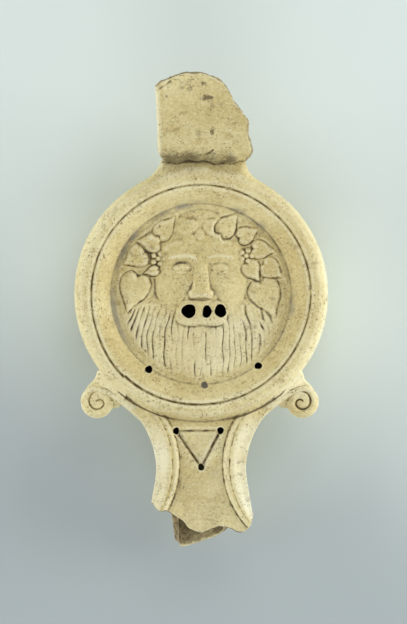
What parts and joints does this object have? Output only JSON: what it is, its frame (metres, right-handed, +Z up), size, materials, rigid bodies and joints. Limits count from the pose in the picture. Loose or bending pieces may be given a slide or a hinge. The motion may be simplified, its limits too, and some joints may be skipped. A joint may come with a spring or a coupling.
{
  "type": "roman oil lamp",
  "caption": "Hollow mould-made clay oil lamp with a round body, a sunk disc with a bearded ivy-wreathed mask, a broken volute nozzle and a broken handle plate.",
  "frame": {"origin": "centre of the base's underside, on the surface the lamp stands on", "axes": "+Z up through the picture disc, -Y along the nozzle, +Y along the handle plate"},
  "size_m": [0.1, 0.1865, 0.0598],
  "materials": {
    "fired_clay": "matt unglazed pale buff clay, speckled and worn, dirt in the hollows"
  },
  "bodies": {
    "root": {"lamp_body": "fired_clay"}
  },
  "joints": []
}
